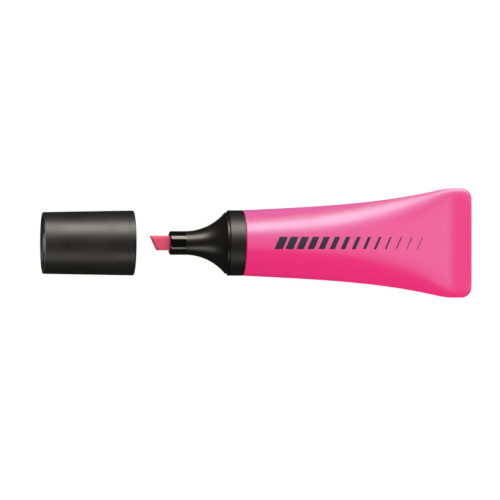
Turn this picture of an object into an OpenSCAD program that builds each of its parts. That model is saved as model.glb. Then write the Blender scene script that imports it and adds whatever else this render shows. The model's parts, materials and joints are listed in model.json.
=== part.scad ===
// Squeeze-tube highlighter with a pull-off cap, lying on the flank of its barrel.
// Everything is drawn along the pen's axis first: X runs from the nib to the tail with
// X = 0 at the collar's front face, Y is the barrel's wide direction and Z points up
// from the barrel's flat side. rest_on_table() then lays the whole pen down.

/* [Collar and nozzle] */
// Radius of the collar that the cap butts against
collar_r = 11.13; // [10.9:0.01:11.4]
// Length of the collar
collar_len = 5.2; // [5:0.1:6]
// Radius of the round nozzle tip
tip_r = 4.03; // [3.8:0.01:4.2]
// Distance from the collar's front face to the nozzle's front face
nozzle_len = 19.9; // [19.5:0.1:20.5]
// Length of the straight part of the nozzle
tip_len = 5.4; // [5:0.1:6]
// Radius of the hollow curve of the flare
flare_bend = 17.8; // [17:0.1:19]
// Radius of the rim that the flare ends in, which centres the cap's mouth
rim_r = 10.42; // [10.3:0.01:10.45]
// Width of the shadow groove between the rim and the collar
groove_w = 0.4; // [0.3:0.05:0.5]

/* [Barrel] */
// Distance from the collar's front face to the tail end
tail_end = 84.2; // [82:0.1:88]
// Half of the barrel's width at the tail
tail_half_w = 18.74; // [18:0.01:20]
// Thickness of the flat tail band
band_t = 1.8; // [1.6:0.1:2.2]
// Length of the flat tail band
band_len = 6.7; // [5:0.1:8]
// Corner radius of the tail
tail_corner = 3.5; // [3:0.1:4.5]
// Wall thickness of the barrel
wall = 1.1; // [0.8:0.05:1.1]
// How much the flanks bulge: a small number is nearly straight
bulge = 0.1; // [0.02:0.01:0.13]

/* [Cap] */
// Length of the cap
cap_len = 30.9; // [30.5:0.1:32]
// Outside radius of the cap at its mouth
cap_mouth_r = 11.03; // [10.95:0.01:11.05]
// Outside radius of the cap at its top end
cap_top_r = 10.47; // [10.4:0.01:10.6]
// Wall thickness of the cap
cap_wall = 0.88; // [0.8:0.01:0.9]
// How far the cap stands off the collar
cap_off = 32.1; // [32:0.1:40]

/* [Nib] */
// Width of the nib, which is the line it draws
nib_w = 5; // [4.6:0.1:5]
// Thickness of the nib
nib_t = 2.8; // [2.4:0.1:2.8]
// How far the nib's long side stands out of the nozzle
nib_out = 6.6; // [6:0.1:7]
// How much shorter the nib's other side is
nib_slant = 2.2; // [1.5:0.1:3]

/* [Ink rod] */
// Radius of the ink rod with its film
rod_r = 6; // [5.5:0.05:6]
// Length of the ink rod
rod_len = 38; // [30:0.5:38]

/* [Hidden] */
$fn = 96;

e = 0.1;              // cutters run this far past the faces that they open
fit = 0.03;           // gap between two pieces that are pushed together

// Nozzle, flare, rim and groove. neck_x is where the flare leaves the straight tip.
neck_x = -nozzle_len + tip_len;
tip_round = 0.7;
groove_r = 10.05;
collar_round = 0.25;

// Joint between the front section and the barrel: the barrel's neck sits between the
// spigot inside it and the collar's skirt around it, and a small bead snaps it in.
front_wall = 1.2;
neck_out_r = 9.9;
neck_in_r = 8.7;
spigot_end = 10;
spigot_bore = 7.7;
bead_r = 0.35;
bead_x = 3.2;

// Room inside the front section.
rod_front = -4.3;
nib_room_r = 3.2;
nib_room_front = -13;
rib_count = 6;
rib_t = 1;
rib_short = 0.8;      // the ribs end this far before the spigot does

// Barrel outline, as half width and half thickness over the distance x from the collar.
body_start = collar_len;
body_end = tail_end - band_len;
band_half = band_t / 2;
end_round = 0.45;
side_step = 7.5;      // degrees between the points of a cross-section
station_step = 2.4;
bend_step = 0.7;      // between the stations where the body bends into the band
bend_len = 2.1;       // length of that bend on each side of the band's edge
grow_linear = 3.48;   // the width grows by these two amounts over grow_len,
grow_late = 4.12;     // the second one mostly near the tail
grow_power = 3.37;
grow_len = 70;
width_blend = 0.8;
band_blend = 0.3;
cavity_start = collar_len + front_wall;
cavity_least = 0.3;   // the cavity ends where it is this thin
lens_side = 0.3;      // how fast the flat sides of the barrel open as it gets wider
lens_grow = 1.34;
lens_top = 1.2;       // near 1 the cross-section is a lens with narrow sides

// The larger and the smaller of two values, rounded off where they are less than k apart.
function soft_most(a, b, k) = max(a, b) + pow(max(k - abs(a - b), 0), 2) / (4 * k);
function soft_least(a, b, k) = -soft_most(-a, -b, k);
function corner_loss(x, end, r) = x <= end - r ? 0 : r - sqrt(max(0, r * r - pow(x - end + r, 2)));
function grown(u) = collar_r + grow_linear * u + grow_late * pow(u, grow_power);
function flank(u) = band_half + (collar_r - band_half) * (1 - u) * (1 + bulge * u);
function half_w(x) = soft_least(grown((x - body_start) / grow_len), tail_half_w, width_blend)
                     - corner_loss(x, tail_end, tail_corner);
function half_t(x) = soft_most(flank((x - body_start) / (body_end - body_start)), band_half, band_blend)
                     - corner_loss(x, tail_end, end_round);

// One cross-section, the curve |y/w|^p + |z/t|^q = 1. It is round where w = t, and a wide lens
// with narrow sides where w is larger.
function side_power(w, t) = 2 + lens_side * pow(max(w / t - 1, 0), lens_grow);
function top_power(w, t) = lens_top + (2 - lens_top) * pow(t / w, 2);
function section(x, w, t, p, q) = [for (a = [side_step / 2 : side_step : 360])
    [x, w * sign(cos(a)) * pow(1 - pow(abs(sin(a)), q), 1 / p), t * sin(a)]];

// The barrel's cross-section at x, or that of the cavity a wall's thickness inside it.
function barrel_section(x, inset) = let (w = half_w(x), t = half_t(x))
    section(x, w - inset, t - inset, side_power(w, t), top_power(w, t));

// Stations along the barrel, closer together in the bend and round the tail's corners.
function stations(from, to, step) = let (n = ceil((to - from) / step))
    [for (i = [0 : n - 1]) from + (to - from) * i / n];
bend_x = stations(body_end - bend_len, body_end + bend_len, bend_step);
corner_x = [for (a = [0 : 20 : 60]) tail_end - tail_corner * (1 - sin(a))];
edge_x = [for (a = [30 : 30 : 90]) tail_end - end_round * (1 - sin(a))];
outer_x = concat(stations(body_start, bend_x[0], station_step), bend_x, corner_x, edge_x);
cavity_x = [for (x = stations(cavity_start, body_end, station_step))
    if (half_t(x) - wall >= cavity_least) x];

// Resting pose: the table touches the tail's edge and the flank, where the line between
// them is tangent to the flank. That gives the tilt of the axis and its height.
tail_u = (tail_end - body_start) / (body_end - body_start);
rest_u = max(0, tail_u - sqrt(pow(tail_u, 2) - (1 + (bulge - 1) * tail_u) / bulge));
tilt = atan((flank(rest_u) - band_half) / ((tail_u - rest_u) * (body_end - body_start)));
axis_z = tail_end * sin(tilt) + band_half * cos(tilt);
cap_top_x = -cap_off - cap_len;
low_x = cap_top_x * cos(tilt) - cap_top_r * sin(tilt);
high_x = tail_end * cos(tilt) + (band_half - end_round) * sin(tilt);
mid_x = (low_x + high_x) / 2;

// Cap, drawn in its closed place and then moved off the pen.
cap_chamfer = 0.25;
mouth_room_r = rim_r + 0.08; // the mouth is opened up so far in, to take the rim
mouth_room_len = 1.2;
mouth_room_lead = 0.3;
lip_len = 0.9;
lip_r = 9.2;
seal_front = -14.7;   // mouth of the seal cup
seal_len = 5.5;
seal_r = tip_r + 0.05;
seal_lead = 0.5;
seal_wall = 0.8;
pocket_r = 3.2;
pocket_end_r = 2.95;
pocket_end = -29.3;
cup_end = -30.6;
cup_end_r = 3.4;
cup_neck_r = 3.9;
cap_rib_count = 4;
cap_rib_t = 0.9;
cap_rib_front = -21.5;

function cap_out_r(x) = cap_mouth_r + (cap_top_r - cap_mouth_r) * -x / cap_len;
function cap_bore_r(x) = cap_out_r(x) - cap_wall;

// ---------------------------------------------------------------- helpers

// Lays the pen on the table, with the middle of its footprint over the origin.
module rest_on_table() {
    translate([-mid_x, 0, axis_z])
        rotate([0, tilt, 0])
            children();
}

// Turns a profile drawn as [radius, x] round the pen's axis.
module turned() {
    rotate([0, 90, 0])
        rotate_extrude()
            children();
}

// A disc or cylinder on the axis, from x to x + length.
module round_bar(x, length, r) {
    translate([x, 0, 0])
        rotate([0, 90, 0])
            cylinder(h = length, r = r);
}

// Solid skinned over a list of cross-sections that all have the same number of points.
module skin(sections) {
    n = len(sections[0]);
    last = len(sections) - 1;
    polyhedron(
        points = [for (s = sections) each s],
        faces = concat(
            [[for (i = [0 : n - 1]) i]],
            [for (k = [0 : last - 1], i = [0 : n - 1])
                let (a = k * n + i, b = k * n + (i + 1) % n)
                each [[a, a + n, b + n], [a, b + n, b]]],
            [[for (i = [n - 1 : -1 : 0]) last * n + i]]));
}

// Flat bar along X with its long edges rounded.
module felt_bar(x, length, w, t, r) {
    translate([x, 0, 0])
        rotate([90, 0, 90])
            linear_extrude(length)
                union() {
                    square([w - 2 * r, t], center = true);
                    square([w, t - 2 * r], center = true);
                    for (y = [-1, 1], z = [-1, 1])
                        translate([y * (w / 2 - r), z * (t / 2 - r)])
                            circle(r, $fn = 24);
                }
}

// ---------------------------------------------------------------- barrel

module tube_barrel() {
    color("deeppink")
    rest_on_table()
    difference() {
        union() {
            skin([for (x = outer_x) barrel_section(x, 0)]);
            round_bar(front_wall + fit, collar_len, neck_out_r);
            turned()
                translate([neck_out_r - e, bead_x])
                    circle(bead_r, $fn = 32);
        }
        round_bar(0, cavity_start + e, neck_in_r);
        skin([for (x = cavity_x) barrel_section(x, wall)]);
    }
}

// ---------------------------------------------------------------- front section

// Outside of the nozzle, flare, rim, groove and collar, as [radius, x].
module front_outline() {
    translate([0, -nozzle_len])
        square([tip_r - tip_round, tip_len]);
    translate([0, -nozzle_len + tip_round])
        square([tip_r, tip_len - tip_round]);
    translate([tip_r - tip_round, -nozzle_len + tip_round])
        circle(tip_round);
    difference() {
        translate([0, neck_x])
            square([rim_r, -neck_x - groove_w]);
        translate([tip_r + flare_bend, neck_x])
            circle(flare_bend);
    }
    translate([0, -groove_w])
        square([groove_r, groove_w + e]);
    square([collar_r - collar_round, collar_len]);
    translate([0, collar_round])
        square([collar_r, collar_len - collar_round]);
    translate([collar_r - collar_round, collar_round])
        circle(collar_round);
    square([neck_in_r - fit, spigot_end]);
}

// Rooms for the nib, the ink rod and the barrel's neck, as [radius, x].
module front_rooms() {
    translate([0, nib_room_front])
        square([nib_room_r, rod_front - nib_room_front]);
    polygon([
        [0, rod_front - e], [rod_r + fit, rod_front - e], [spigot_bore, -groove_w],
        [spigot_bore, spigot_end + e], [0, spigot_end + e]]);
    translate([neck_in_r - fit, front_wall])
        square([neck_out_r - neck_in_r + 2 * fit, collar_len]);
    translate([neck_out_r - e + fit, bead_x])
        circle(bead_r + fit, $fn = 32);
}

module front_section() {
    color("black")
    rest_on_table()
    difference() {
        union() {
            turned()
                difference() {
                    front_outline();
                    front_rooms();
                }
            for (i = [0 : rib_count - 1])
                rotate([i * 360 / rib_count, 0, 0])
                    translate([0, -rib_t / 2, rod_r - e])
                        cube([spigot_end - rib_short, rib_t, spigot_bore - rod_r + 2 * e]);
        }
        translate([-nozzle_len - e, -nib_w / 2, -nib_t / 2])
            cube([nozzle_len + nib_room_front + 2 * e, nib_w, nib_t]);
        round_bar(rod_front, rod_len, rod_r + fit);
    }
}

// ---------------------------------------------------------------- nib and ink rod

nib_tip = -nozzle_len - nib_out;
nib_end = 3;
nib_point_len = 5;
nib_edge = 0.3;
bevel_back = 3.3;     // how far back the bevel reaches on the nib's short side
bevel_rise = 0.9;     // how deep it cuts there

// Room above one broad face of the nib, cut away so that the slanted end becomes an edge.
module nib_bevel() {
    along = atan(bevel_back / nib_w);
    drop = atan(bevel_rise / ((bevel_back - nib_slant) * cos(along)));
    translate([nib_tip, nib_w / 2, nib_t / 2])
        rotate([0, 0, along])
            rotate([0, -drop, 0])
                translate([-2 * nib_w, -2 * nib_w, 0])
                    cube([2 * nib_w, 4 * nib_w, nib_t]);
}

// Flat felt bar, slanted in front and narrowed behind, where it is pushed into the ink rod.
module nib_shape() {
    difference() {
        intersection() {
            felt_bar(nib_tip, nib_end - nib_tip, nib_w, nib_t, nib_edge);
            translate([0, 0, -nib_t])
                linear_extrude(2 * nib_t)
                    polygon([
                        [nib_tip, nib_w / 2], [nib_tip + nib_slant, -nib_w / 2],
                        [nib_end - nib_point_len, -nib_w / 2], [nib_end, -nib_w / 4],
                        [nib_end, nib_w / 4], [nib_end - nib_point_len, nib_w / 2]]);
        }
        for (side = [0, 1])
            mirror([0, 0, side])
                nib_bevel();
    }
}

module chisel_nib() {
    color("hotpink")
    rest_on_table()
    nib_shape();
}

film_t = 0.15;

module reservoir_core() {
    color("pink")
    rest_on_table()
    difference() {
        round_bar(rod_front, rod_len, rod_r - film_t - fit);
        nib_shape();
    }
}

module reservoir_film() {
    color("whitesmoke")
    rest_on_table()
    difference() {
        round_bar(rod_front, rod_len, rod_r);
        round_bar(rod_front - e, rod_len + 2 * e, rod_r - film_t);
    }
}

// ---------------------------------------------------------------- cap

module cap_place() {
    rest_on_table()
    translate([-cap_off, 0, 0])
        children();
}

module cap_shell() {
    bore_start = -mouth_room_len - mouth_room_lead;
    color("dimgray")
    cap_place()
    turned()
        polygon([
            [mouth_room_r, 0], [mouth_room_r, -mouth_room_len], [cap_bore_r(bore_start), bore_start],
            [cap_bore_r(-cap_len + lip_len), -cap_len + lip_len],
            [lip_r, -cap_len + lip_len], [lip_r, -cap_len], [cap_top_r - cap_chamfer, -cap_len],
            [cap_out_r(-cap_len + cap_chamfer), -cap_len + cap_chamfer],
            [cap_out_r(-cap_chamfer), -cap_chamfer], [cap_mouth_r - cap_chamfer, 0]]);
}

module cap_seal_cup() {
    seal_back = seal_front - seal_len;
    neck_back = seal_back - (seal_r + seal_wall - cup_neck_r);
    rib_back = -cap_len + lip_len + fit;
    color("dimgray")
    cap_place()
    union() {
        turned()
            polygon([
                [seal_r + seal_lead, seal_front], [seal_r + seal_wall, seal_front],
                [seal_r + seal_wall, seal_back], [cup_neck_r, neck_back],
                [cup_end_r, cup_end + cap_chamfer], [cup_end_r - cap_chamfer, cup_end],
                [0, cup_end], [0, pocket_end], [pocket_end_r - seal_lead, pocket_end],
                [pocket_end_r, pocket_end + seal_lead], [pocket_r, seal_back],
                [seal_r, seal_back], [seal_r, seal_front - seal_lead]]);
        intersection() {
            for (i = [0 : cap_rib_count - 1])
                rotate([45 + i * 360 / cap_rib_count, 0, 0])
                    translate([rib_back, -cap_rib_t / 2, cup_end_r - 2 * e])
                        cube([cap_rib_front - rib_back, cap_rib_t, cap_mouth_r]);
            turned()
                polygon([
                    [0, cap_rib_front], [cap_bore_r(cap_rib_front) - fit, cap_rib_front],
                    [cap_bore_r(rib_back) - fit, rib_back], [0, rib_back]]);
        }
    }
}

tube_barrel();
front_section();
chisel_nib();
reservoir_core();
reservoir_film();
cap_shell();
cap_seal_cup();
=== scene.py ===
import json
import math

import bpy
import mathutils
import numpy as np
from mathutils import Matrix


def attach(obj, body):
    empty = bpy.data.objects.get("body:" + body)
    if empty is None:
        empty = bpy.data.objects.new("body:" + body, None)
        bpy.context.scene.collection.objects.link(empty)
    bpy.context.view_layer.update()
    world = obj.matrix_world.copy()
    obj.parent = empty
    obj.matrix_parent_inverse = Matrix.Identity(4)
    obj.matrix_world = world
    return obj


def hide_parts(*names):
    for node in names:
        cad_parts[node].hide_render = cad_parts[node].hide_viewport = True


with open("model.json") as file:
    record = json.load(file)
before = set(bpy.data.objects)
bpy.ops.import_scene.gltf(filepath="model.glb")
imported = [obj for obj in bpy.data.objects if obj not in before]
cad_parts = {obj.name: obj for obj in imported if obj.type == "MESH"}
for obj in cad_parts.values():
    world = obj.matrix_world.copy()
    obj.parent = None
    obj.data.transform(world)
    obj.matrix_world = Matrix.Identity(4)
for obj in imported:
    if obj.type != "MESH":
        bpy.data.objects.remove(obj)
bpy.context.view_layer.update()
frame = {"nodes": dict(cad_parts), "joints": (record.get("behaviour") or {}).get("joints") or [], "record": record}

# %% [markdown]
# # A highlighter shaped like a squeezed paint tube
# The pen lies on the flank of its pink barrel with its black cap pulled off in front of
# the nib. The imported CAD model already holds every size. This lesson gives each piece the
# finish of the real one: moulded plastic, polished plastic, printed ink and pressed felt.
#
# The first step is to find the pen's own axes, because the pen lies at a slant. Its axis is
# the direction that the cap slides along, and the collar's mount says where the collar is.

# %% The pen's own axes
MM = 0.001
joint = frame["joints"][0]
collar = next(m for m in frame["record"]["mounts"] if m["name"] == "collar")

TAIL_WARDS = np.array(joint["axis"]) / np.linalg.norm(joint["axis"])
SIDE_WARDS = np.array([0.0, 1.0, 0.0])
UP_WARDS = np.cross(TAIL_WARDS, SIDE_WARDS)
COLLAR_EDGE = 0.25  # mm, the rounding of the collar's front edge
COLLAR_R = collar["dims"]["r_mm"]
COLLAR_LEN = collar["dims"]["length_mm"] + COLLAR_EDGE
START = np.array(collar["pos_m"]) - TAIL_WARDS * (COLLAR_LEN + COLLAR_EDGE) / 2 * MM
TILT = math.atan2(-TAIL_WARDS[2], TAIL_WARDS[0])


def place(points):
    """Points in the pen's axes (mm: x from the collar towards the tail, y across, z up from
    the flat side) as points in the frame (metres): START + x*tail + y*side + z*up."""
    return START + points @ np.array([TAIL_WARDS, SIDE_WARDS, UP_WARDS]) * MM


def span(node):
    """Lowest and highest corner of a CAD node in the pen's axes, in mm."""
    mesh = frame["nodes"][node].data
    found = np.empty(len(mesh.vertices) * 3)
    mesh.vertices.foreach_get("co", found)
    axes = np.array([TAIL_WARDS, SIDE_WARDS, UP_WARDS])
    local = (found.reshape(-1, 3) - START) @ axes.T / MM
    return local.min(axis=0), local.max(axis=0)


print(f"the pen's axis is tilted by {math.degrees(TILT):.2f} degrees")
for name in frame["nodes"]:
    low, high = span(name)
    print(f"{name}: x {low[0]:.2f} to {high[0]:.2f}, half width {high[1]:.2f} mm")

# %% [markdown]
# ## From rings to a mesh
# Nearly every piece of a pen was made round a core, in a mould that opens along the axis.
# So nearly every piece is a stack of rings: a ring is a closed curve round the axis, and a
# profile says how the rings follow each other. A grid of rings is one array of points, so
# numpy works out a whole piece at once, and the faces are only a matter of counting.

# %% A mesh from rings
SHARP_ANGLE = 40  # degrees between two faces from which their edge is shaded as an edge


def grid_faces(count, around, joined):
    """Quads between neighbouring rings; joined also links the last ring to the first."""
    ring = np.arange(count if joined else count - 1)[:, None]
    step = np.arange(around)[None, :]
    here, there = ring * around, (ring + 1) % count * around
    after = (step + 1) % around
    quads = np.stack([here + step, here + after, there + after, there + step], axis=-1)
    return quads.reshape(-1, 4)


def pole_faces(ring_start, around, pole, flip):
    """Triangles from one ring to a single point, which close an end."""
    step = np.arange(around)
    here, after = ring_start + step, ring_start + (step + 1) % around
    ends = (after, here) if flip else (here, after)
    return np.stack([*ends, np.full(around, pole)], axis=-1)


def ring_solid(rings, joined=False):
    """Points and faces of a solid. Its rings, an array (rings, around, 3), follow its wall
    from one pole to the other, or all the way round when joined is true."""
    count, around = rings.shape[:2]
    points = rings.reshape(-1, 3)
    faces = grid_faces(count, around, joined).tolist()
    if not joined:
        poles = np.stack([rings[0].mean(axis=0), rings[-1].mean(axis=0)])
        points = np.concatenate([points, poles])
        faces += pole_faces(0, around, len(points) - 2, True).tolist()
        faces += pole_faces((count - 1) * around, around, len(points) - 1, False).tolist()
    return points, faces


def volume(points, faces):
    """The signed volume of a closed solid: the sum of a.(b x c)/6 over its triangles. It is
    negative when the faces point inwards."""
    fans = np.array([[f[0], f[i], f[i + 1]] for f in faces for i in range(1, len(f) - 1)])
    a, b, c = points[fans].transpose(1, 0, 2)
    return float(np.sum(a * np.cross(b, c)) / 6)


def make_piece(name, solids, body, replaced=()):
    """One object from several closed solids, each turned so that its faces point outwards."""
    points, faces, first = [], [], 0
    for solid_points, solid_faces in solids:
        order = 1 if volume(solid_points, solid_faces) > 0 else -1
        points.append(solid_points)
        faces += [[first + i for i in face[::order]] for face in solid_faces]
        first += len(solid_points)
    mesh = bpy.data.meshes.new(name)
    mesh.from_pydata(place(np.concatenate(points)).tolist(), [], faces)
    mesh.validate()
    mesh.update()
    mesh.shade_smooth()
    mesh.set_sharp_from_angle(angle=math.radians(SHARP_ANGLE))
    piece = bpy.data.objects.new(name, mesh)
    bpy.context.scene.collection.objects.link(piece)
    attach(piece, body)
    if replaced:
        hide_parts(*replaced)
    size = sum(abs(volume(*solid)) for solid in solids)
    print(f"{name}: {len(mesh.vertices)} points, {len(mesh.polygons)} faces, {size:.0f} mm3")
    return piece


# %% [markdown]
# ## Profiles with rounded corners
# Moulded plastic has no knife edges, and the thin bright line along a rounded edge is what
# makes a render believable. A profile is drawn by its corners only. Each corner carries a
# radius, and `rounded` swaps it for an arc that touches both sides. The points crowd
# towards the ends of each straight side, which keeps the shading of a flat side flat.

# %% Rounded profiles
ARC_STEPS = 7


def eased(start, end, step):
    """Points from start to end, crowded at both: start + (end - start)(1 - cos(pi t))/2."""
    start, end = np.asarray(start, float), np.asarray(end, float)
    count = max(3, int(np.linalg.norm(end - start) / step))
    t = (1 - np.cos(np.pi * np.arange(count + 1) / count)) / 2
    return start + (end - start) * t[:, None]


def corner_arc(before, corner, after, radius):
    """The arc of a radius that touches both sides of a corner. Its centre lies on the
    corner's bisector, radius / sin(half the corner's angle) away."""
    back, on = (before - corner), (after - corner)
    back, on = back / np.linalg.norm(back), on / np.linalg.norm(on)
    half = math.acos(np.clip(back @ on, -1, 1)) / 2
    if radius <= 0 or half > math.pi / 2 - 0.01:
        return corner[None, :]
    bisector = (back + on) / np.linalg.norm(back + on)
    centre = corner + bisector * radius / math.sin(half)
    first = corner + back * radius / math.tan(half) - centre
    last = corner + on * radius / math.tan(half) - centre
    t = np.arange(ARC_STEPS + 1)[:, None] / ARC_STEPS
    turn = math.pi - 2 * half
    return centre + (first * np.sin((1 - t) * turn) + last * np.sin(t * turn)) / math.sin(turn)


def rounded(corners, closed=True, step=0.7):
    """A profile [[x, r], ...] from corners (x, r, radius), as arcs and eased sides."""
    at = np.array([c[:2] for c in corners], float)
    arcs = []
    for i, corner in enumerate(corners):
        ends = not closed and i in (0, len(corners) - 1)
        arcs.append(at[i][None, :] if ends else
                    corner_arc(at[i - 1], at[i], at[(i + 1) % len(at)], corner[2]))
    path = []
    for i, arc in enumerate(arcs):
        path.append(arc)
        if closed or i < len(arcs) - 1:
            path.append(eased(arc[-1], arcs[(i + 1) % len(arcs)][0], step)[1:-1])
    return np.concatenate(path)


def turned(profile, around=160):
    """Rings of a profile [[x, r], ...] carried round the axis: (x, r cos a, r sin a)."""
    a = np.arange(around) * 2 * np.pi / around
    x, r = profile[:, :1], profile[:, 1:2]
    return np.stack([x + 0 * a, r * np.cos(a), r * np.sin(a)], axis=-1)


# %% [markdown]
# ## The barrel
# The barrel is blow-moulded: round where it meets the collar and pinched flat at the tail,
# like a tube of paint. One rule covers the whole of it. A cross-section of half width w and
# half thickness t is the curve |y/w|^p + |z/t|^q = 1. With w = t both powers are 2 and it is
# a circle. As w grows past t, p rises and q falls towards 1.2, so the section becomes a wide
# lens: two gently bowed faces that meet in narrow sides.
#
# The width grows slowly at first and quickly near the tail, and the thickness falls almost
# evenly. Both run into the flat band at the tail with a soft bend.

# %% The barrel's outline
TAIL_END = span("tube_barrel")[1][0]
TAIL_HALF_W = span("tube_barrel")[1][1]
BAND_LEN, BAND_HALF = 6.7, 0.9
TAIL_CORNER, TAIL_EDGE = 3.5, 0.45
WALL = 1.1
BODY_START, BODY_END = COLLAR_LEN, TAIL_END - BAND_LEN
BULGE = 0.1
GROW_LEN, GROW_LINEAR, GROW_LATE, GROW_POWER = 70, 3.48, 4.12, 3.37
WIDTH_BLEND, BAND_BLEND = 0.8, 0.3
LENS_SIDE, LENS_GROW, LENS_TOP = 0.3, 1.34, 1.2


def soft_most(a, b, k):
    """The larger of two values, rounded off by a parabola where they differ by less than k."""
    return np.maximum(a, b) + np.maximum(k - np.abs(a - b), 0) ** 2 / (4 * k)


def corner_loss(x, radius):
    """How much a round corner of the tail takes off at x: r - sqrt(r^2 - past^2)."""
    past = np.clip(x - TAIL_END + radius, 0, radius)
    return radius - np.sqrt(radius * radius - past * past)


def half_width(x):
    """Collar radius + 3.48 u + 4.12 u^3.37 with u the distance in 70 mm, up to the tail's."""
    u = np.maximum(x - BODY_START, 0) / GROW_LEN
    grown = COLLAR_R + GROW_LINEAR * u + GROW_LATE * u**GROW_POWER
    return -soft_most(-grown, -TAIL_HALF_W, WIDTH_BLEND) - corner_loss(x, TAIL_CORNER)


def half_thickness(x):
    """From the collar's radius to the band's: band + fall (1 - u)(1 + bulge u)."""
    u = (x - BODY_START) / (BODY_END - BODY_START)
    flank = BAND_HALF + (COLLAR_R - BAND_HALF) * (1 - u) * (1 + BULGE * u)
    return soft_most(flank, BAND_HALF, BAND_BLEND) - corner_loss(x, TAIL_EDGE)


def sections(x, w, t, p, q, around=224):
    """Rings at each x with z = t sin a and y = w (1 - |sin a|^q)^(1/p)."""
    a = (np.arange(around) + 0.5) * 2 * np.pi / around
    x, w, t, p, q = (np.asarray(v, float)[:, None] for v in (x, w, t, p, q))
    y = w * (1 - np.abs(np.sin(a)) ** q) ** (1 / p) * np.sign(np.cos(a))
    return np.stack([x + 0 * a, y, t * np.sin(a)], axis=-1)


def roundness(w, t):
    """The powers of a section, 2 and 2 where it is a circle: p = 2 + 0.3 (w/t - 1)^1.34 and
    q = 1.2 + 0.8 (t/w)^2."""
    flat = np.maximum(w / t - 1, 0)
    return 2 + LENS_SIDE * flat**LENS_GROW, LENS_TOP + (2 - LENS_TOP) * (t / w) ** 2


print(f"half width at the collar {half_width(BODY_START):.2f}, at 40 mm {half_width(40.0):.2f}")

# %% [markdown]
# The barrel's wall is followed from the middle of the tail's edge, forward along the
# outside, round the neck that the collar hides, and back along the inside. So the piece is
# hollow as the real one is, and still one closed surface.

# %% The barrel's surface
NECK_FRONT, NECK_OUT, NECK_IN = 1.23, 9.9, 8.7
SHOULDER = BODY_START + 1.2
CAVITY_END = 73.8  # mm, where the cavity is too thin to go on
FRONT_EDGE = 0.45

edge_angle = np.linspace(math.pi / 2, 0, 9)
corner_angle = np.linspace(math.radians(62), 0, 14)
edge_x = TAIL_END - TAIL_EDGE * (1 - np.sin(edge_angle))
corner_x = TAIL_END - TAIL_CORNER * (1 - np.sin(corner_angle))
bend_x = np.linspace(corner_x[-1] - 0.15, BODY_END - 3, 34)
body_x = eased([bend_x[-1] - 0.2, 0], [BODY_START, 0], 0.55)[:, 0]
outer_x = np.concatenate([edge_x[:-1], corner_x, bend_x, body_x])
outer_w, outer_t = half_width(outer_x), half_thickness(outer_x)

short = np.clip(BODY_START + FRONT_EDGE - outer_x, 0, FRONT_EDGE)
edge_loss = FRONT_EDGE - np.sqrt(FRONT_EDGE**2 - short**2)
outer_w -= edge_loss
outer_t -= edge_loss

neck = rounded([(BODY_START, COLLAR_R - FRONT_EDGE, 0), (BODY_START, NECK_OUT, 0.1),
                (NECK_FRONT, NECK_OUT, 0.2), (NECK_FRONT, NECK_IN, 0.2),
                (SHOULDER, NECK_IN, 0.1), (SHOULDER, 9.8, 0)], closed=False)[1:]
inner_x = eased([SHOULDER + 0.1, 0], [CAVITY_END, 0], 1.2)[:, 0]

outer_p, outer_q = roundness(outer_w, outer_t)
inner_w, inner_t = half_width(inner_x), half_thickness(inner_x)
inner_p, inner_q = roundness(inner_w, inner_t)
shrink = np.linspace(0.05, 0.95, 5)
same = np.ones(5)
tail_rings = sections(same * TAIL_END, outer_w[0] * shrink, outer_t[0] * shrink,
                      outer_p[0] * same, outer_q[0] * same)
barrel_rings = np.concatenate([
    tail_rings,
    sections(outer_x, outer_w, outer_t, outer_p, outer_q),
    sections(neck[:, 0], neck[:, 1], neck[:, 1], 2 + 0 * neck[:, 0], 2 + 0 * neck[:, 0]),
    sections(inner_x, inner_w - WALL, inner_t - WALL, inner_p, inner_q),
])
barrel = make_piece("barrel", [ring_solid(barrel_rings)], "pen", ["tube_barrel"])

# %% [markdown]
# ## The print on the flank
# Such a barrel carries a print, and a plain row of slanted bars stands for it here. Real
# print is a film of ink a few hundredths of a millimetre thick. So each bar is a closed
# slab that follows the flank, stands a little proud of it and sinks a little into it.

# %% The printed bars
INK_T = 0.015
BAR_RINGS, BAR_STEPS = 25, 7
PRINT_START, PRINT_PITCH, PRINT_HALF, PRINT_LEAN = 17.2, 3.75, 2.1, 0.95
BAR_WIDTHS = np.array([2.9, 2.75, 2.55, 2.35, 2.1, 1.85, 1.6,
                       1.35, 1.1, 0.85, 0.6, 0.42, 0.3, 0.22])


def flank_height(x, y):
    """The height of the upper flank over the middle plane: t (1 - |y/w|^p)^(1/q)."""
    w, t = half_width(x), half_thickness(x)
    p, q = roundness(w, t)
    return t * (1 - (np.abs(y) / w) ** p) ** (1 / q)


def ink_bar(start, width):
    """Rings of one bar, one for each y. A ring runs along the top of the bar and back along
    its underside; both are the flank's height, plus or minus the ink's thickness."""
    y = np.linspace(-PRINT_HALF, PRINT_HALF, BAR_RINGS)[:, None]
    along = np.linspace(0, 1, BAR_STEPS)
    u = np.concatenate([along, along[::-1]])
    side = np.repeat([1, -1], len(along))
    x = start + width * u + PRINT_LEAN * y / PRINT_HALF
    return np.stack([x, y + 0 * x, flank_height(x, y) + INK_T * side], axis=-1)


starts = PRINT_START + PRINT_PITCH * np.arange(len(BAR_WIDTHS)) - BAR_WIDTHS / 2
bars = [ring_solid(ink_bar(start, width)) for start, width in zip(starts, BAR_WIDTHS)]
printed = make_piece("printed_bars", bars, "pen")

# %% [markdown]
# ## The black front section
# Nozzle, flare, rim and collar are one moulding. The flare is a hollow arc that leaves the
# straight nozzle without a kink. Behind the rim runs a narrow shadow groove, and the cap's
# mouth closes against the collar behind it. The nozzle's front face is pierced by the slot
# that the nib sits in, so its rings change from circles to rounded rectangles there.

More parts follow.
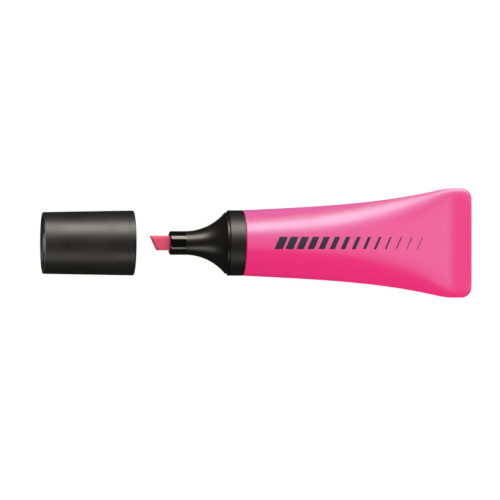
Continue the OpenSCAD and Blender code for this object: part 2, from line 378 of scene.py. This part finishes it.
# %% The front section's profile
NOZZLE_FRONT = span("front_section")[0][0]
TIP_R, TIP_LEN, TIP_ROUND = 4.03, 5.4, 0.7
NECK_X = NOZZLE_FRONT + TIP_LEN
FLARE_BEND, RIM_R, GROOVE_W, GROOVE_R = 17.8, 10.42, 0.4, 10.05
SPIGOT_END = span("front_section")[1][0]
NIB_W, NIB_T, NIB_GAP = 5.0, 2.8, 0.05
NIB_ROOM_R, NIB_ROOM_X, ROD_X, ROD_R = 3.2, -13.0, -4.3, 6.03
SPIGOT_BORE = 7.7
SOCKET_FRONT, SOCKET_GAP = 1.2, 0.03
SOCKET_OUT, SOCKET_IN = NECK_OUT + SOCKET_GAP, NECK_IN - SOCKET_GAP

flare_end = NECK_X + math.sqrt(FLARE_BEND**2 - (FLARE_BEND + TIP_R - RIM_R) ** 2)
flare_angle = np.linspace(0, math.asin((flare_end - NECK_X) / FLARE_BEND), 60)[1:-1]
flare = np.stack([NECK_X + FLARE_BEND * np.sin(flare_angle),
                  TIP_R + FLARE_BEND * (1 - np.cos(flare_angle))], axis=-1)

nozzle = rounded([(NOZZLE_FRONT, 3.0, 0), (NOZZLE_FRONT, TIP_R, TIP_ROUND), (NECK_X, TIP_R, 0)],
                 closed=False, step=0.4)
rim = rounded([(flare[-1][0], flare[-1][1], 0), (flare_end, RIM_R, 0.25),
               (-GROOVE_W, RIM_R, 0.12), (-GROOVE_W, GROOVE_R, 0.1), (0, GROOVE_R, 0.08),
               (0, COLLAR_R, COLLAR_EDGE), (COLLAR_LEN, COLLAR_R, 0.12),
               (COLLAR_LEN, SOCKET_OUT, 0.05), (SOCKET_FRONT, SOCKET_OUT, 0.05),
               (SOCKET_FRONT, SOCKET_IN, 0.05), (SPIGOT_END, SOCKET_IN, 0.3),
               (SPIGOT_END, SPIGOT_BORE, 0.2), (-GROOVE_W, SPIGOT_BORE, 0.3),
               (ROD_X, ROD_R, 0.1), (ROD_X, NIB_ROOM_R, 0.1), (NIB_ROOM_X, NIB_ROOM_R, 0)],
              closed=False, step=0.5)[1:]
print(f"the flare reaches the rim at x = {flare_end:.2f} mm")

# %% [markdown]
# `slot_radius` gives the nib slot's outline as a radius for each angle, so that a slot ring
# and a round ring share the same points and the faces between them need no extra work.

# %% The front section's surface
SLOT_POWER, SLOT_EDGE, SLOT_BACK_X = 14, 0.15, -15.5
SLOT_FRONT_X = -18.5
SECTION_AROUND = 192
RIB_COUNT, RIB_T, RIB_END = 6, 1.0, 9.2


def slot_radius(a, gap):
    """Radius of a rounded rectangle at angle a: (|cos a / w|^p + |sin a / t|^p)^(-1/p)."""
    w, t = NIB_W / 2 + gap, NIB_T / 2 + gap
    sides = (np.abs(np.cos(a)) / w) ** SLOT_POWER + (np.abs(np.sin(a)) / t) ** SLOT_POWER
    return sides ** (-1 / SLOT_POWER)


def slot_rings(x, gap, around=SECTION_AROUND):
    """Rings of the nib slot at each x; a larger gap makes the slot's edge round."""
    a = np.arange(around) * 2 * np.pi / around
    r = slot_radius(a, np.asarray(gap, float)[:, None])
    return np.stack([np.asarray(x, float)[:, None] + 0 * a, r * np.cos(a), r * np.sin(a)], axis=-1)


lip = np.linspace(0, math.pi / 2, 5)
slot_front = slot_rings(NOZZLE_FRONT + SLOT_EDGE * (1 - np.sin(lip)),
                        NIB_GAP + SLOT_EDGE * (1 - np.cos(lip)))
slot_back = slot_rings([NIB_ROOM_X, NIB_ROOM_X, SLOT_BACK_X, SLOT_FRONT_X],
                       [2 * NIB_GAP, NIB_GAP, NIB_GAP, NIB_GAP])
front_profile = np.concatenate([nozzle[1:], flare, rim])
section_rings = np.concatenate([slot_back, slot_front, turned(front_profile, SECTION_AROUND)])


def block(low, high, turn):
    """A box between two corners, turned about the pen's axis by an angle."""
    low, high = np.array(low, float), np.array(high, float)
    corners = np.array([[0, 0, 0], [1, 0, 0], [1, 1, 0], [0, 1, 0],
                        [0, 0, 1], [1, 0, 1], [1, 1, 1], [0, 1, 1]])
    x, y, z = (low + corners * (high - low)).T
    c, s = math.cos(turn), math.sin(turn)
    faces = [[0, 3, 2, 1], [4, 5, 6, 7], [0, 1, 5, 4], [1, 2, 6, 5], [2, 3, 7, 6], [3, 0, 4, 7]]
    return np.stack([x, y * c - z * s, y * s + z * c], axis=-1), faces


RIB_SINK = 0.1
ribs = [block([0, -RIB_T / 2, ROD_R], [RIB_END, RIB_T / 2, SPIGOT_BORE + RIB_SINK],
              i * math.tau / RIB_COUNT) for i in range(RIB_COUNT)]
section = make_piece("front_moulding", [ring_solid(section_rings, joined=True), *ribs], "pen",
                     ["front_section"])

# %% [markdown]
# ## The felt nib
# The nib is a flat bar of pressed polyester fibre. Its end is cut at a slant and bevelled on
# both broad faces, so that it draws a wide line or a thin one. In axes that are sheared
# along the slant, the bar is straight and all its rings have the same outline, which makes
# the slanted end as easy as a square one.

# %% The nib's surface
NIB_TIP = span("chisel_nib")[0][0]
NIB_END = span("chisel_nib")[1][0]
NIB_SLANT, BEVEL_BACK, BEVEL_RISE = 2.2, 3.3, 0.9
POINT_LEN = 5.0
NIB_EDGE, NIB_POWER, BEVEL_BLEND = 0.18, 2 / 5, 0.05
FADE_START, FADE_LEN = 8, 8  # where the slant of the rings dies out behind the end


def nib_rings(around=144):
    """Rings of the nib. Half width and half thickness shrink round the rim of the slanted
    end, and the bevel takes off what lies above a slanted plane."""
    a = (np.arange(around) + 0.5) * 2 * np.pi / around
    end = np.linspace(math.pi / 2, 0, 8)
    front = NIB_EDGE * (1 - np.sin(end))
    u = np.concatenate([[0, 0, 0], front, eased([0.3, 0], [4.5, 0], 0.16)[:, 0],
                        eased([5, 0], [NIB_END - NIB_TIP, 0], 0.8)[:, 0]])
    inset = np.concatenate([[1.2, 0.7, 0.3], NIB_EDGE * (1 - np.cos(end)), np.zeros(len(u) - 11)])
    narrow = np.clip((u - (NIB_END - NIB_TIP - POINT_LEN)) / POINT_LEN, 0, 1) * NIB_W / 4
    w = (NIB_W / 2 - narrow)[:, None]
    y = w * np.sign(np.cos(a)) * np.abs(np.cos(a)) ** NIB_POWER
    rise = NIB_T / 2 - BEVEL_RISE * soft_most(
        (NIB_W / 2 - y) / NIB_W - u[:, None] / (BEVEL_BACK - NIB_SLANT), 0 * y, BEVEL_BLEND)
    z = rise * np.sign(np.sin(a)) * np.abs(np.sin(a)) ** NIB_POWER
    scale_y = 1 - inset[:, None] / w
    scale_z = np.maximum(1 - inset[:, None] / rise, 0.02)
    slanted = NIB_SLANT * (NIB_W / 2 - y * scale_y) / NIB_W
    fade = np.clip(1 - (u[:, None] - FADE_START) / FADE_LEN, 0, 1)
    return np.stack([NIB_TIP + u[:, None] + slanted * fade, y * scale_y, z * scale_z], axis=-1)


nib = make_piece("felt_nib", [ring_solid(nib_rings())], "pen", ["chisel_nib"])

# %% [markdown]
# ## The cap
# The cap's shell is a plain tube that narrows towards its open top. Inside it sits the seal
# cup on four ribs. The cup grips the nozzle so that the ink can't dry, and the open space
# round it lets air through if a child swallows the cap. Both are followed right round their
# walls, outside and inside. A fine line runs round the shell just behind its mouth.

# %% The cap's surfaces
CAP_TOP = span("cap_shell")[0][0]
CAP_MOUTH = span("cap_shell")[1][0]
CAP_LEN = CAP_MOUTH - CAP_TOP
CAP_MOUTH_R, CAP_TOP_R, CAP_WALL = 11.03, 10.47, 0.88
LIP_LEN, LIP_R = 0.9, 9.2
MOUTH_ROOM_R, MOUTH_ROOM_LEN, ROOM_LEAD = 10.5, 1.2, 0.3
LINE_X, LINE_W, LINE_D = 1.9, 0.3, 0.08
CUP_FRONT, CUP_BACK, CUP_END = -14.7, -20.2, -30.6
SEAL_R, SEAL_WALL, CUP_NECK_R, CUP_END_R = 4.08, 0.8, 3.9, 3.4
POCKET_R, POCKET_END_R, POCKET_END = 3.2, 2.95, -29.3
SEAL_LEAD, CUP_SLOPE, POLE_R = 0.5, 0.98, 0.02
CAP_RIB_FRONT, CAP_RIB_BACK, CAP_RIB_HALF = -21.5, -29.95, 0.45
CAP_RIB_IN, CAP_RIB_OUT, CAP_RIBS = 3.0, 9.55, 4


def cap_r(x):
    """The cap's outside radius, which falls evenly from the mouth at x = 0 to the top."""
    return CAP_MOUTH_R + (CAP_TOP_R - CAP_MOUTH_R) * -x / CAP_LEN


shell_profile = rounded([
    (0, MOUTH_ROOM_R, 0.1), (0, CAP_MOUTH_R, 0.3), (-LINE_X, cap_r(-LINE_X), 0.05),
    (-LINE_X, cap_r(-LINE_X) - LINE_D, 0.02), (-LINE_X - LINE_W, cap_r(-LINE_X) - LINE_D, 0.02),
    (-LINE_X - LINE_W, cap_r(-LINE_X - LINE_W), 0.05), (-CAP_LEN, CAP_TOP_R, 0.35),
    (-CAP_LEN, LIP_R, 0.2), (-CAP_LEN + LIP_LEN, LIP_R, 0.15),
    (-CAP_LEN + LIP_LEN, cap_r(-CAP_LEN + LIP_LEN) - CAP_WALL, 0.1),
    (-MOUTH_ROOM_LEN - ROOM_LEAD, cap_r(-MOUTH_ROOM_LEN - ROOM_LEAD) - CAP_WALL, 0.2),
    (-MOUTH_ROOM_LEN, MOUTH_ROOM_R, 0.1)])
cup_profile = rounded([
    (CUP_END, POLE_R, 0), (CUP_END, CUP_END_R, 0.3), (CUP_BACK - CUP_SLOPE, CUP_NECK_R, 0.5),
    (CUP_BACK, SEAL_R + SEAL_WALL, 0.3), (CUP_FRONT, SEAL_R + SEAL_WALL, 0.1),
    (CUP_FRONT, SEAL_R + SEAL_LEAD, 0.1), (CUP_FRONT - SEAL_LEAD, SEAL_R, 0.1),
    (CUP_BACK, SEAL_R, 0.1), (CUP_BACK, POCKET_R, 0.1), (POCKET_END, POCKET_END_R, 0.6),
    (POCKET_END, POLE_R, 0)],
    closed=False)
for profile in (shell_profile, cup_profile):
    profile[:, 0] += CAP_MOUTH
cap_ribs = [block([CAP_MOUTH + CAP_RIB_BACK, -CAP_RIB_HALF, CAP_RIB_IN],
                  [CAP_MOUTH + CAP_RIB_FRONT, CAP_RIB_HALF, CAP_RIB_OUT],
                  math.radians(45 + 90 * i)) for i in range(CAP_RIBS)]
cap = make_piece("cap", [ring_solid(turned(shell_profile), joined=True)], "cap", ["cap_shell"])
cup = make_piece("seal_cup", [ring_solid(turned(cup_profile, 96)), *cap_ribs], "cap",
                 ["cap_seal_cup"])

# %% [markdown]
# ## Materials
# First the tools that several finishes share. `Pen axes` turns the frame's coordinates into
# the pen's own, in millimetres, so that a pattern can follow the pen. `Moulded skin` is the
# fine spark-eroded grain that a steel mould leaves on plastic, with the faint cloudiness of
# handling on top.

# %% Shared node groups


def add(tree, kind, **settings):
    """A node of a kind, with its properties and the values of its sockets set."""
    node = tree.nodes.new(kind)
    for key, value in settings.items():
        if key in node.bl_rna.properties:
            setattr(node, key, value)
        else:
            node.inputs[key.replace("_", " ")].default_value = value
    return node


def group(name, inputs, outputs):
    """An empty node group with named inputs (name, kind, value) and outputs (name, kind)."""
    tree = bpy.data.node_groups.new(name, "ShaderNodeTree")
    for label, kind, value in inputs:
        made = tree.interface.new_socket(label, in_out="INPUT", socket_type=f"NodeSocket{kind}")
        if value is not None:
            made.default_value = value
    for label, kind in outputs:
        tree.interface.new_socket(label, in_out="OUTPUT", socket_type=f"NodeSocket{kind}")
    return tree, tree.nodes.new("NodeGroupInput"), tree.nodes.new("NodeGroupOutput")


def place_group(tree, made, **values):
    """A group node in a material, with its own values."""
    node = tree.nodes.new("ShaderNodeGroup")
    node.node_tree = made
    for key, value in values.items():
        node.inputs[key.replace("_", " ")].default_value = value
    return node


pen_axes, _, result = group("Pen axes", [], [("Vector", "Vector")])
where = add(pen_axes, "ShaderNodeTexCoord")
turn = add(pen_axes, "ShaderNodeMapping", vector_type="TEXTURE")
turn.inputs["Location"].default_value = START
turn.inputs["Rotation"].default_value = (0, TILT, 0)
turn.inputs["Scale"].default_value = (MM, MM, MM)
pen_axes.links.new(where.outputs["Object"], turn.inputs["Vector"])
pen_axes.links.new(turn.outputs["Vector"], result.inputs["Vector"])

skin_group, given, result = group(
    "Moulded skin",
    [("Vector", "Vector", None), ("Grain size", "Float", 9.0), ("Cloud size", "Float", 0.12)],
    [("Grain", "Float"), ("Cloud", "Float")])
grain = add(skin_group, "ShaderNodeTexNoise", Detail=3.0, Roughness=0.6)
cloud = add(skin_group, "ShaderNodeTexNoise", Detail=2.0, Roughness=0.5)
for noise, size, output in ((grain, "Grain size", "Grain"), (cloud, "Cloud size", "Cloud")):
    skin_group.links.new(given.outputs["Vector"], noise.inputs["Vector"])
    skin_group.links.new(given.outputs[size], noise.inputs["Scale"])
    skin_group.links.new(noise.outputs["Fac"], result.inputs[output])

print("node groups:", [g.name for g in bpy.data.node_groups])

# %% [markdown]
# ## Plastics
# The cap and the collar are satin black, the nozzle is polished where the cap's seal grips
# it, and the flare between them is in the middle. The barrel is fluorescent pink and a
# little translucent, so light that goes in comes out again nearby and fills its shadows.
# It also carries a painted glow: a faint pink emission that lifts its red evenly, shade included.

# %% The plastics
CLOUD_LOW, CLOUD_HIGH = 0.35, 0.65  # the range that the cloud noise really takes
GRAIN_DEPTH = 0.00002  # m


def plastic(name, base, roughness, bump, grain_size=9.0, **shader_values):
    """A moulded plastic whose roughness and surface vary with the moulded skin."""
    material = bpy.data.materials.new(name)
    material.use_nodes = True
    tree = material.node_tree
    shader = tree.nodes["Principled BSDF"]
    for key, value in shader_values.items():
        shader.inputs[key.replace("_", " ")].default_value = value
    axes = place_group(tree, pen_axes)
    skin = place_group(tree, skin_group, Grain_size=grain_size)
    tree.links.new(axes.outputs["Vector"], skin.inputs["Vector"])
    low, high = roughness
    rough = add(tree, "ShaderNodeMapRange", To_Min=low, To_Max=high)
    rough.inputs["From Min"].default_value = CLOUD_LOW
    rough.inputs["From Max"].default_value = CLOUD_HIGH
    tree.links.new(skin.outputs["Cloud"], rough.inputs["Value"])
    tree.links.new(rough.outputs["Result"], shader.inputs["Roughness"])
    tint = add(tree, "ShaderNodeMix", data_type="RGBA")
    tint.inputs[6].default_value = (*base[0], 1)
    tint.inputs[7].default_value = (*base[1], 1)
    tree.links.new(skin.outputs["Cloud"], tint.inputs[0])
    tree.links.new(tint.outputs[2], shader.inputs["Base Color"])
    relief = add(tree, "ShaderNodeBump", Strength=bump, Distance=GRAIN_DEPTH)
    tree.links.new(skin.outputs["Grain"], relief.inputs["Height"])
    tree.links.new(relief.outputs["Normal"], shader.inputs["Normal"])
    return material, axes, rough, shader


grey_soft, *_ = plastic("Soft grey plastic", [(0.045, 0.044, 0.043), (0.055, 0.053, 0.052)],
                        (0.45, 0.55), 0.25)
ink, *_ = plastic("Printing ink", [(0.036, 0.004, 0.014), (0.05, 0.006, 0.02)], (0.45, 0.55), 0.1,
                Specular_IOR_Level=0.3)
black_satin, *_ = plastic("Black satin plastic", [(0.0055, 0.005, 0.0046), (0.007, 0.0064, 0.006)],
                          (0.4, 0.47), 0.25)
# The barrel's emission is painted glow: pink light from a piece that is no lamp, which lifts its red evenly in
# light and shade
pink, *_ = plastic("Fluorescent pink plastic", [(0.92, 0.0115, 0.205), (0.9, 0.0105, 0.19)],
                   (0.29, 0.33), 0.12, grain_size=6.0, Subsurface_Weight=0.15,
                   Specular_IOR_Level=0.6, Emission_Strength=0.05)
PINK_DEPTHS = (0.0012, 0.0003, 0.0006)  # m, how far red, green and blue light travel in it
# the colour of the painted glow that the barrel sends out itself
PINK_PAINTED_GLOW = (1.0, 0.01, 0.12, 1)
pink_shader = pink.node_tree.nodes["Principled BSDF"]
pink_shader.inputs["Subsurface Radius"].default_value = PINK_DEPTHS
pink_shader.inputs["Subsurface Scale"].default_value = 1.0
pink_shader.inputs["Emission Color"].default_value = PINK_PAINTED_GLOW

# %% [markdown]
# The front section is one moulding with three finishes, which meet at fixed places along
# the axis. A pair of map ranges picks the roughness by the x of the pen's axes.

# %% The front section's finish
TIP_ROUGHNESS, COLLAR_ROUGHNESS = 0.1, 0.44
section_black, axes, cloudy, shader = plastic(
    "Black section plastic", [(0.004, 0.0038, 0.0036), (0.0055, 0.0052, 0.005)], (0.33, 0.38), 0.08)
tree = section_black.node_tree
split = add(tree, "ShaderNodeSeparateXYZ")
tree.links.new(axes.outputs["Vector"], split.inputs["Vector"])
polished = add(tree, "ShaderNodeMapRange")
polished.inputs["From Min"].default_value = NECK_X - 0.05
polished.inputs["From Max"].default_value = NECK_X + 0.15
satin = add(tree, "ShaderNodeMapRange")
satin.inputs["From Min"].default_value = -GROOVE_W / 2 - 0.05
satin.inputs["From Max"].default_value = -GROOVE_W / 2 + 0.05
for step in (polished, satin):
    tree.links.new(split.outputs["X"], step.inputs["Value"])
tip_mix = add(tree, "ShaderNodeMix")
tip_mix.inputs[2].default_value = TIP_ROUGHNESS
tree.links.new(polished.outputs["Result"], tip_mix.inputs[0])
tree.links.new(cloudy.outputs["Result"], tip_mix.inputs[3])
collar_mix = add(tree, "ShaderNodeMix")
collar_mix.inputs[3].default_value = COLLAR_ROUGHNESS
tree.links.new(satin.outputs["Result"], collar_mix.inputs[0])
tree.links.new(tip_mix.outputs[0], collar_mix.inputs[2])
tree.links.new(collar_mix.outputs[0], shader.inputs["Roughness"])

# %% [markdown]
# ## Felt, wadding and film
# Pressed felt is a bundle of fibres that run along the nib, cut square at the end. Noise
# that is stretched along the axis gives the fibres, and small dark pores show between them.
# The ink store inside the barrel is the same idea with looser, paler fibres, and the film
# round it is clear plastic with fine creases along its length.

# %% Fibres and film
fibre_group, given, result = group(
    "Fibres along the pen",
    [("Vector", "Vector", None), ("Dark", "Color", (0, 0, 0, 1)), ("Light", "Color", (1, 1, 1, 1)),
     ("Thinness", "Float", 8.0)],
    [("Colour", "Color"), ("Height", "Float")])
stretch = add(fibre_group, "ShaderNodeMapping")
sizes = add(fibre_group, "ShaderNodeCombineXYZ", X=0.9)
fibre = add(fibre_group, "ShaderNodeTexNoise", Scale=1.0, Detail=6.0, Roughness=0.7)
spread = add(fibre_group, "ShaderNodeMapRange")
spread.inputs["From Min"].default_value = 0.3
spread.inputs["From Max"].default_value = 0.64
blend = add(fibre_group, "ShaderNodeMix", data_type="RGBA")
links = fibre_group.links
links.new(given.outputs["Thinness"], sizes.inputs["Y"])
links.new(given.outputs["Thinness"], sizes.inputs["Z"])
links.new(given.outputs["Vector"], stretch.inputs["Vector"])
links.new(sizes.outputs["Vector"], stretch.inputs["Scale"])
links.new(stretch.outputs["Vector"], fibre.inputs["Vector"])
links.new(fibre.outputs["Fac"], spread.inputs["Value"])
links.new(spread.outputs["Result"], blend.inputs[0])
links.new(given.outputs["Dark"], blend.inputs[6])
links.new(given.outputs["Light"], blend.inputs[7])
links.new(blend.outputs[2], result.inputs["Colour"])
links.new(fibre.outputs["Fac"], result.inputs["Height"])


def fibrous(name, dark, light, thinness, relief_depth, **shader_values):
    """A material of fibres that run along the pen, between a dark and a light colour."""
    material = bpy.data.materials.new(name)
    material.use_nodes = True
    tree = material.node_tree
    shader = tree.nodes["Principled BSDF"]
    for key, value in shader_values.items():
        shader.inputs[key.replace("_", " ")].default_value = value
    axes = place_group(tree, pen_axes)
    fibres = place_group(tree, fibre_group, Dark=(*dark, 1), Light=(*light, 1), Thinness=thinness)
    tree.links.new(axes.outputs["Vector"], fibres.inputs["Vector"])
    tree.links.new(fibres.outputs["Colour"], shader.inputs["Base Color"])
    relief = add(tree, "ShaderNodeBump", Strength=0.6, Distance=relief_depth)
    tree.links.new(fibres.outputs["Height"], relief.inputs["Height"])
    tree.links.new(relief.outputs["Normal"], shader.inputs["Normal"])
    return material


felt = fibrous("Pressed felt", (0.66, 0.025, 0.09), (0.88, 0.055, 0.15), 8.0, 0.00012,
               Roughness=0.6, Specular_IOR_Level=0.45, Sheen_Weight=0.05, Sheen_Roughness=0.5)
wadding = fibrous("Ink wadding", (0.75, 0.03, 0.16), (0.95, 0.3, 0.5), 14.0, 0.0002,
                  Roughness=0.85, Specular_IOR_Level=0.3, Sheen_Weight=0.4, Sheen_Roughness=0.4)
film = fibrous("Clear film", (0.9, 0.88, 0.88), (1.0, 0.99, 0.99), 1.5, 0.00005,
               Roughness=0.12, Transmission_Weight=1.0, IOR=1.49)


# %% Assign the materials


def dress(piece, material):
    """Gives a piece its one material."""
    piece.data.materials.clear()
    piece.data.materials.append(material)


for piece, material in ((barrel, pink), (printed, ink), (section, section_black),
                        (cap, black_satin), (cup, grey_soft), (nib, felt),
                        (frame["nodes"]["reservoir_core"], wadding),
                        (frame["nodes"]["reservoir_film"], film)):
    dress(piece, material)

# %% [markdown]
# ## The table, the light and the camera
# The pen lies on a plain white table. Black plastic shows nothing but what it reflects, so
# one long soft box on each side draws its highlights. The pink barrel and its print get
# cooler lamps of their own, because light linking lets a lamp light some pieces only. A low
# green lamp lifts the pink the way fluorescence does, and it isn't seen in reflections. The
# even light comes from the world and the table, which both look dark in reflections. None of
# this is how a real studio works: it sets the tones of this one scene.

# %% Table, lights and camera
FLOOR_SIDE = 6.0
TABLE_OUT_OF_SIGHT, TABLE_IN_SIGHT = (0.05, 0.05, 0.05, 1), (0.3, 0.3, 0.3, 1)
TABLE_BOUNCE, TABLE_SEEN = 0.95, 0.82
WORLD_EVEN, WORLD_REFLECTED = (0.98, 0.97, 0.96, 1), (0.012, 0.012, 0.012, 1)
WORLD_STRENGTH = 0.98
floor_mesh = bpy.data.meshes.new("table_top")
half = FLOOR_SIDE / 2
floor_mesh.from_pydata([(-half, -half, 0), (half, -half, 0), (half, half, 0), (-half, half, 0)], [],
                       [[0, 1, 2, 3]])
floor = bpy.data.objects.new("table_top", floor_mesh)
bpy.context.scene.collection.objects.link(floor)
white = bpy.data.materials.new("White table")
white.use_nodes = True
tree = white.node_tree
shader = tree.nodes["Principled BSDF"]
shader.inputs["Roughness"].default_value = 1.0
shader.inputs["Specular IOR Level"].default_value = 0.0
sight = add(tree, "ShaderNodeLightPath")
tone = add(tree, "ShaderNodeMix", data_type="RGBA")
tone.inputs[6].default_value = TABLE_OUT_OF_SIGHT
tone.inputs[7].default_value = TABLE_IN_SIGHT
tree.links.new(sight.outputs["Is Camera Ray"], tone.inputs[0])
tree.links.new(tone.outputs[2], shader.inputs["Base Color"])
shader.inputs["Emission Color"].default_value = (1, 1, 1, 1)
bounce = add(tree, "ShaderNodeMath", operation="MULTIPLY")
bounce.inputs[1].default_value = TABLE_BOUNCE
seen = add(tree, "ShaderNodeMath", operation="MULTIPLY_ADD")
seen.inputs[1].default_value = TABLE_SEEN
tree.links.new(sight.outputs["Is Diffuse Ray"], bounce.inputs[0])
tree.links.new(sight.outputs["Is Camera Ray"], seen.inputs[0])
tree.links.new(bounce.outputs["Value"], seen.inputs[2])
tree.links.new(seen.outputs["Value"], shader.inputs["Emission Strength"])
dress(floor, white)


def soft_box(name, place, aim, size, watts, colour, lit, diffuse=False):
    """A rectangular light at a place, which faces the point aim and lights some pieces only;
    size is (long, high). Its light is seen in reflections, or else in diffuse light."""
    light = bpy.data.lights.new(name, "AREA")
    light.shape = "RECTANGLE"
    light.size, light.size_y = size
    light.energy = watts
    light.color = colour
    lamp = bpy.data.objects.new(name, light)
    lamp.location = place
    away = mathutils.Vector(place) - mathutils.Vector(aim)
    lamp.rotation_euler = away.to_track_quat("Z", "Y").to_euler()
    lamp.visible_camera = False
    lamp.visible_diffuse = diffuse
    bpy.context.scene.collection.objects.link(lamp)
    receivers = bpy.data.collections.new(f"{name} lights")
    for piece in lit:
        receivers.objects.link(piece)
    lamp.light_linking.receiver_collection = receivers
    return lamp


WARM, PALE, COOL = (1.0, 0.945, 0.85), (1.0, 0.985, 0.96), (0.4, 0.93, 0.95)
TEAL = (0.1, 0.86, 1.0)
GLOW = (0.0, 1.0, 0.1)
DARK_PIECES = (cap, cup, section, nib)
BARREL_PIECES = (barrel, printed)
soft_box("key", (0.2, 0.66, 0.44), (0.2, 0, 0), (1.3, 0.46), 19.5, WARM, DARK_PIECES)
soft_box("fill", (-0.25, -0.54, 0.53), (-0.05, 0, 0), (0.9, 0.28), 2.8, PALE, DARK_PIECES)
soft_box("pink_key", (0.48, 0.68, 0.41), (0.48, 0, 0), (0.72, 0.42), 11.0, COOL, BARREL_PIECES)
soft_box("pink_high", (0.23, 0.46, 0.64), (0.04, 0, 0.01), (0.5, 0.24), 1.2, TEAL, BARREL_PIECES)
soft_box("pink_tail", (0.84, 0, 0.88), (0.03, 0, 0), (0.8, 0.46), 5.0, TEAL, BARREL_PIECES)
glow = soft_box("pink_glow", (0.03, 0.7, 0.1), (0.03, 0, 0), (0.8, 0.15), 68.0, GLOW,
                BARREL_PIECES, True)
glow.visible_glossy = False
soft_box("cap_end", (-0.64, 0, 0.2), (-0.07, 0, 0.01), (0.3, 0.3), 6.5, PALE, [cap, cup], True)
soft_box("nib_light", (-0.1, 0.68, 0.16), (-0.02, 0, 0.01), (0.5, 0.2), 2.8, PALE, [nib], True)

world = bpy.data.worlds.new("Studio")
world.use_nodes = True
tree = world.node_tree
background = tree.nodes["Background"]
sight = add(tree, "ShaderNodeLightPath")
light_level = add(tree, "ShaderNodeMix", data_type="RGBA")
light_level.inputs[6].default_value = WORLD_EVEN
light_level.inputs[7].default_value = WORLD_REFLECTED
tree.links.new(sight.outputs["Is Glossy Ray"], light_level.inputs[0])
tree.links.new(light_level.outputs[2], background.inputs["Color"])
background.inputs["Strength"].default_value = WORLD_STRENGTH
bpy.context.scene.world = world

camera_data = bpy.data.cameras.new("camera")
camera = bpy.data.objects.new("camera", camera_data)
bpy.context.scene.collection.objects.link(camera)
bpy.context.scene.camera = camera
VIEW_WIDTH = 0.170
CAMERA_HEIGHT = 1.6
PEN_HEIGHT = 0.0117  # m, the height at which the view is VIEW_WIDTH wide
SENSOR = 36
camera_data.sensor_width = SENSOR
camera_data.lens = SENSOR * (CAMERA_HEIGHT - PEN_HEIGHT) / VIEW_WIDTH
camera.location = (-0.00215, -0.00238, CAMERA_HEIGHT)
camera.rotation_euler = (0, 0, 0)
camera_data.clip_start, camera_data.clip_end = 0.1, 20

bpy.context.scene.view_settings.view_transform = "Standard"
